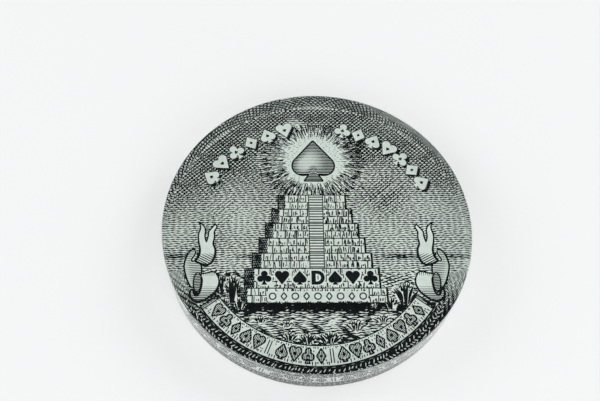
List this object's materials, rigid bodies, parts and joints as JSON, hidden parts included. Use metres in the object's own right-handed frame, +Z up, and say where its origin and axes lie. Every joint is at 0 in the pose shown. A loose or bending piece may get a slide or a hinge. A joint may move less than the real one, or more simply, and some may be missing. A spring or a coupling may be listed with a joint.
{
  "type": "dealer button",
  "caption": "Thick clear acrylic disc with an engraved-style picture printed on its underside, used to mark the dealer's place at a card table.",
  "frame": {"origin": "centre of the underside, on the surface that the button rests on", "axes": "+Z up through the clear disc, out of the face that is looked at; +Y towards the top of the printed picture, +X to its right"},
  "size_m": [0.0762, 0.0762, 0.0099],
  "materials": {
    "clear_acrylic": "polished",
    "line_ink": "satin",
    "tint_ink": "satin",
    "white_ink": "matte",
    "adhesive": "gloss",
    "backing_film": "satin"
  },
  "bodies": {
    "root": {"clear_disc": "clear_acrylic", "line_ink": "line_ink", "tint_ink": "tint_ink", "white_ink": "white_ink", "adhesive_layer": "adhesive", "backing_film": "backing_film"}
  },
  "joints": []
}
